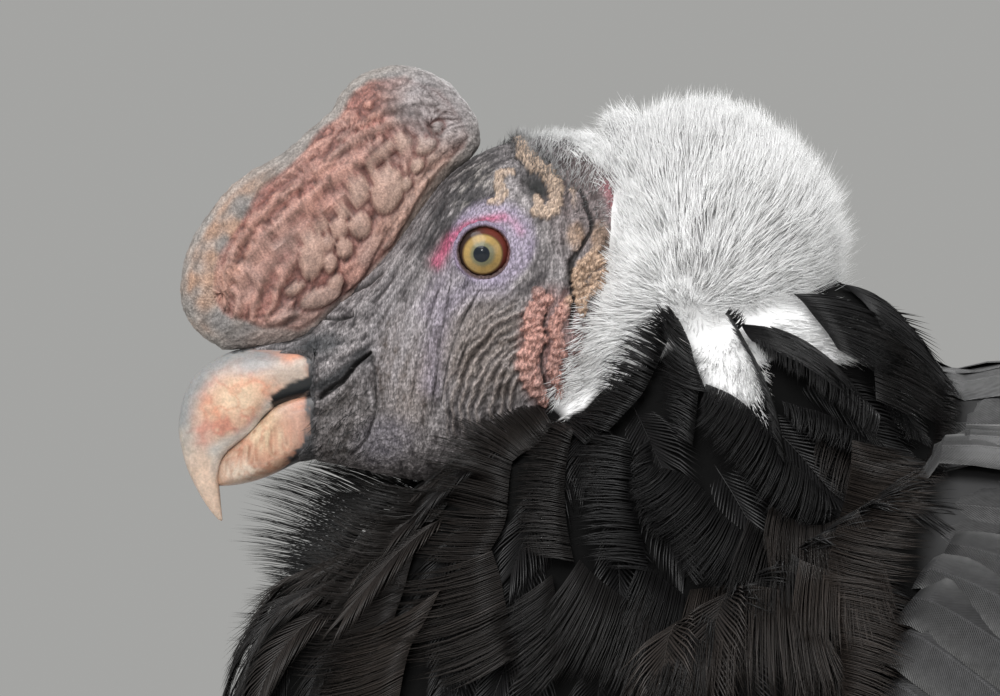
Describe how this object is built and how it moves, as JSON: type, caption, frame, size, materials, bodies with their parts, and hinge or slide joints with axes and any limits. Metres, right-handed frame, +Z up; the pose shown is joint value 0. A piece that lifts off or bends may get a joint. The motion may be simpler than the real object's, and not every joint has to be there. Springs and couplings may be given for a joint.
{
  "type": "andean condor",
  "caption": "Life-size still of a standing male Andean condor with its neck drawn in, wings folded, fleshy comb, white ruff and hooked ivory bill.",
  "frame": {"origin": "the floor point under the centre of the overall box, so the soles are at z = 0", "axes": "-X the way the bird faces, -Y its left side, +Z up"},
  "size_m": [0.8369, 0.3278, 0.7164],
  "materials": {
    "skin": "bare wrinkled grey skin, matte, lavender round the eye and pink on the wattles",
    "comb": "granular fleshy comb, salmon pink with a grey rim, matte",
    "bill": "ivory horn with pinkish mottling, satin",
    "eye": "ochre iris with a dark pupil, wet gloss",
    "white_down": "pure white down, soft and matte",
    "black_feathers": "black contour feathers with brownish tinges, matte",
    "flight_feathers": "black flight feathers with silvery white outer webs on the inner wing, satin",
    "leg_scales": "dark grey reticulate scales, matte",
    "claw": "blunt black horn, satin"
  },
  "bodies": {
    "root": {"bill_lower": "bill", "bill_upper": "bill", "claw_left_hind": "claw", "claw_left_inner": "claw", "claw_left_middle": "claw", "claw_left_outer": "claw", "claw_right_hind": "claw", "claw_right_inner": "claw", "claw_right_middle": "claw", "claw_right_outer": "claw", "comb": "comb", "eye_left": "eye", "eye_right": "eye", "foot_left": "leg_scales", "foot_right": "leg_scales", "head": "skin", "neck": "black_feathers", "ruff": "white_down", "shank_left": "leg_scales", "shank_right": "leg_scales", "tail": "flight_feathers", "thigh_left": "black_feathers", "thigh_right": "black_feathers", "torso": "black_feathers", "wing_left": "flight_feathers", "wing_right": "flight_feathers"}
  },
  "joints": []
}
